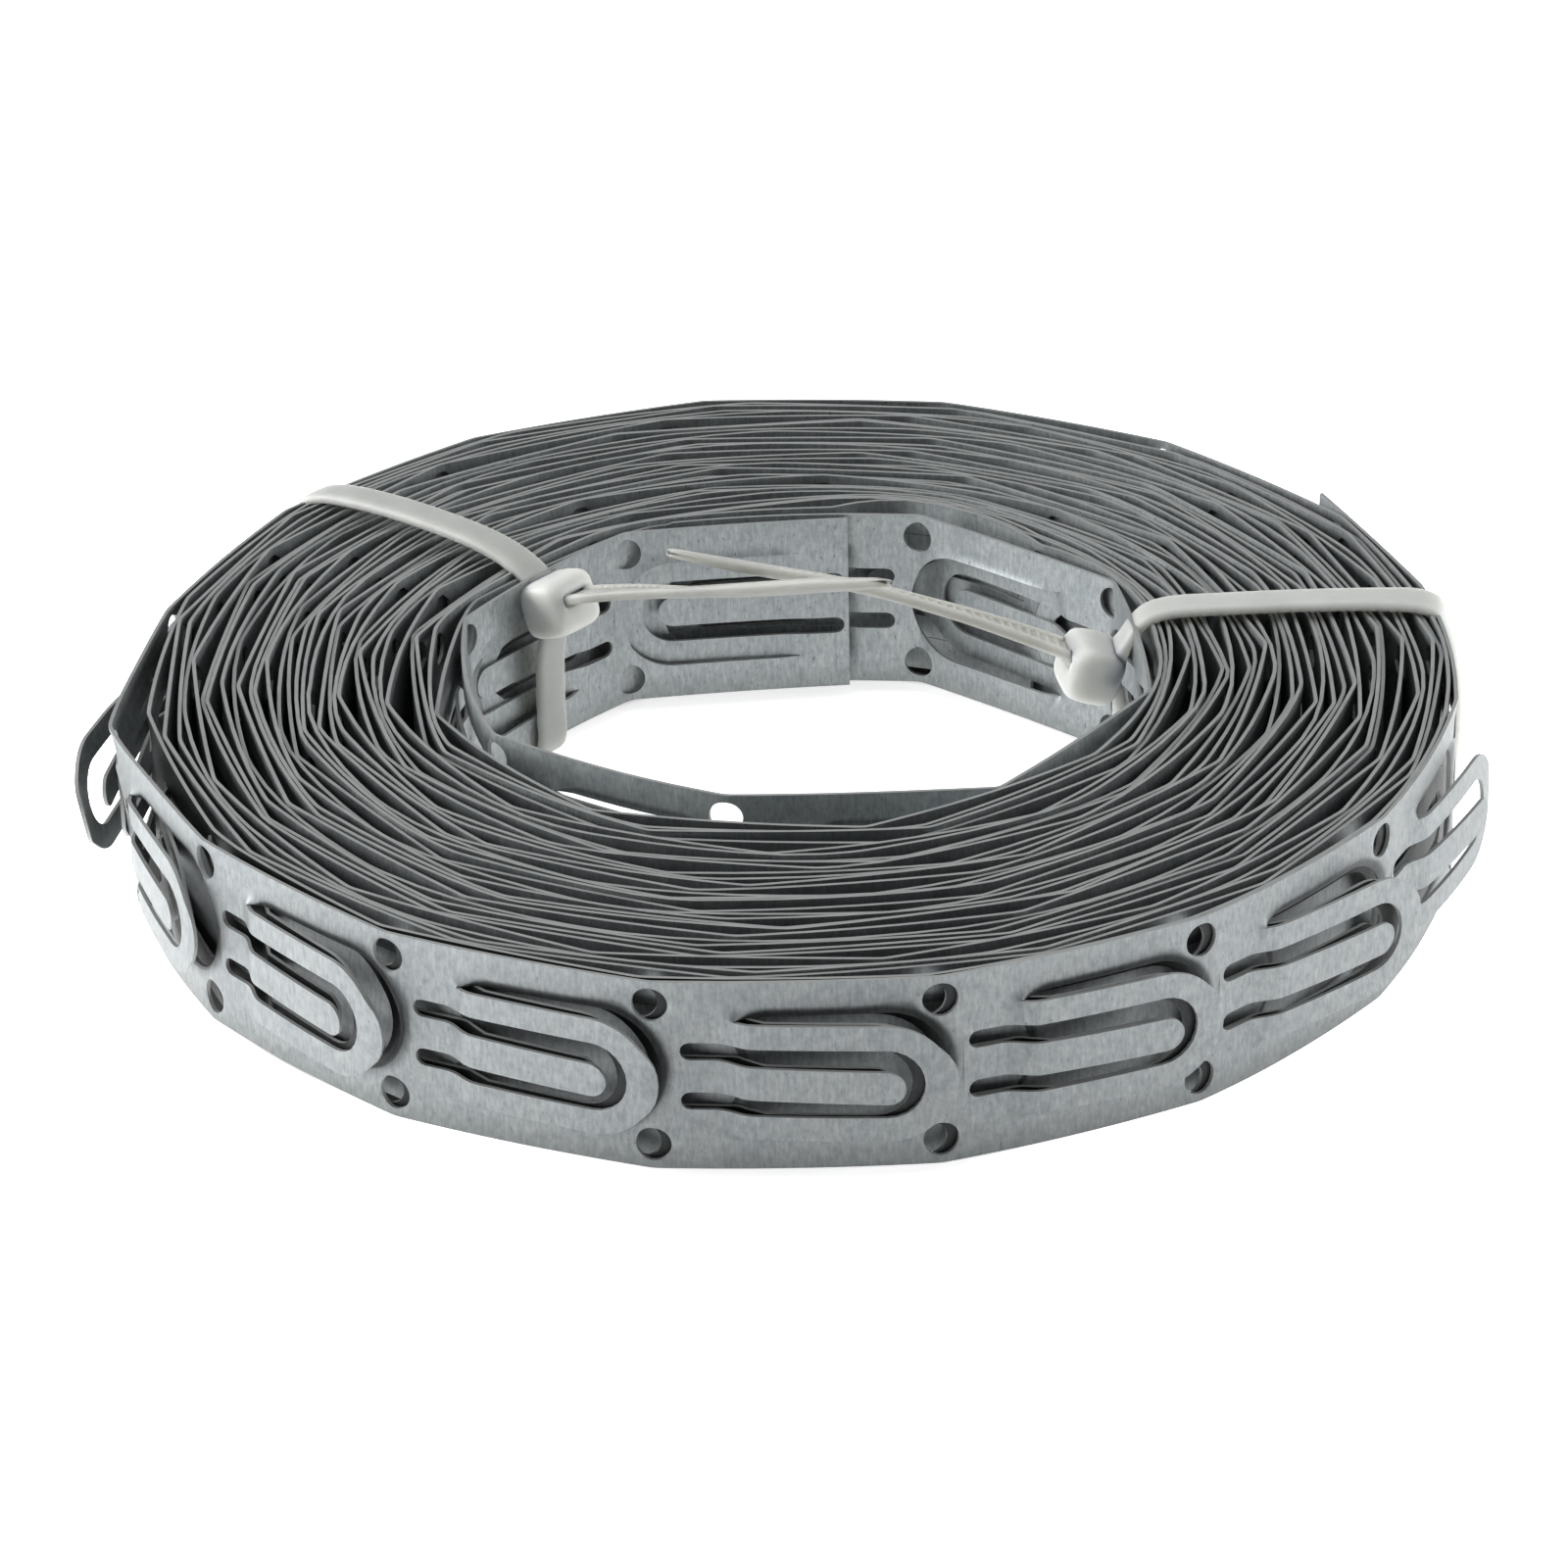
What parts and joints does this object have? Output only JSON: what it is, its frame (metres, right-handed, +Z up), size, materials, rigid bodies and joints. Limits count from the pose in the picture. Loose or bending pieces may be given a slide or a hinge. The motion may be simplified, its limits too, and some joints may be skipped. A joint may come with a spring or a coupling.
{
  "type": "cable fixing strip",
  "caption": "Roll of punched galvanised steel strip with raised clip tongues and nail holes, for fixing cables, held by two nylon ties.",
  "frame": {"origin": "under the middle of the whole part, on the level of the straps' undersides, which it rests on; the roll's axis stands 0.5 mm beside it", "axes": "+Z up along the roll's upright axis, -Y towards the viewer of the picture, +X to the picture's right"},
  "size_m": [0.1304, 0.1278, 0.0318],
  "materials": {
    "galvanised_strip": "satin hot-dip galvanised sheet, blue-grey, with fine spangle and dark pits",
    "natural_nylon": "natural translucent nylon, satin"
  },
  "bodies": {
    "root": {"strip_coil": "galvanised_strip", "cable_tie_left": "natural_nylon", "cable_tie_right": "natural_nylon"}
  },
  "joints": []
}
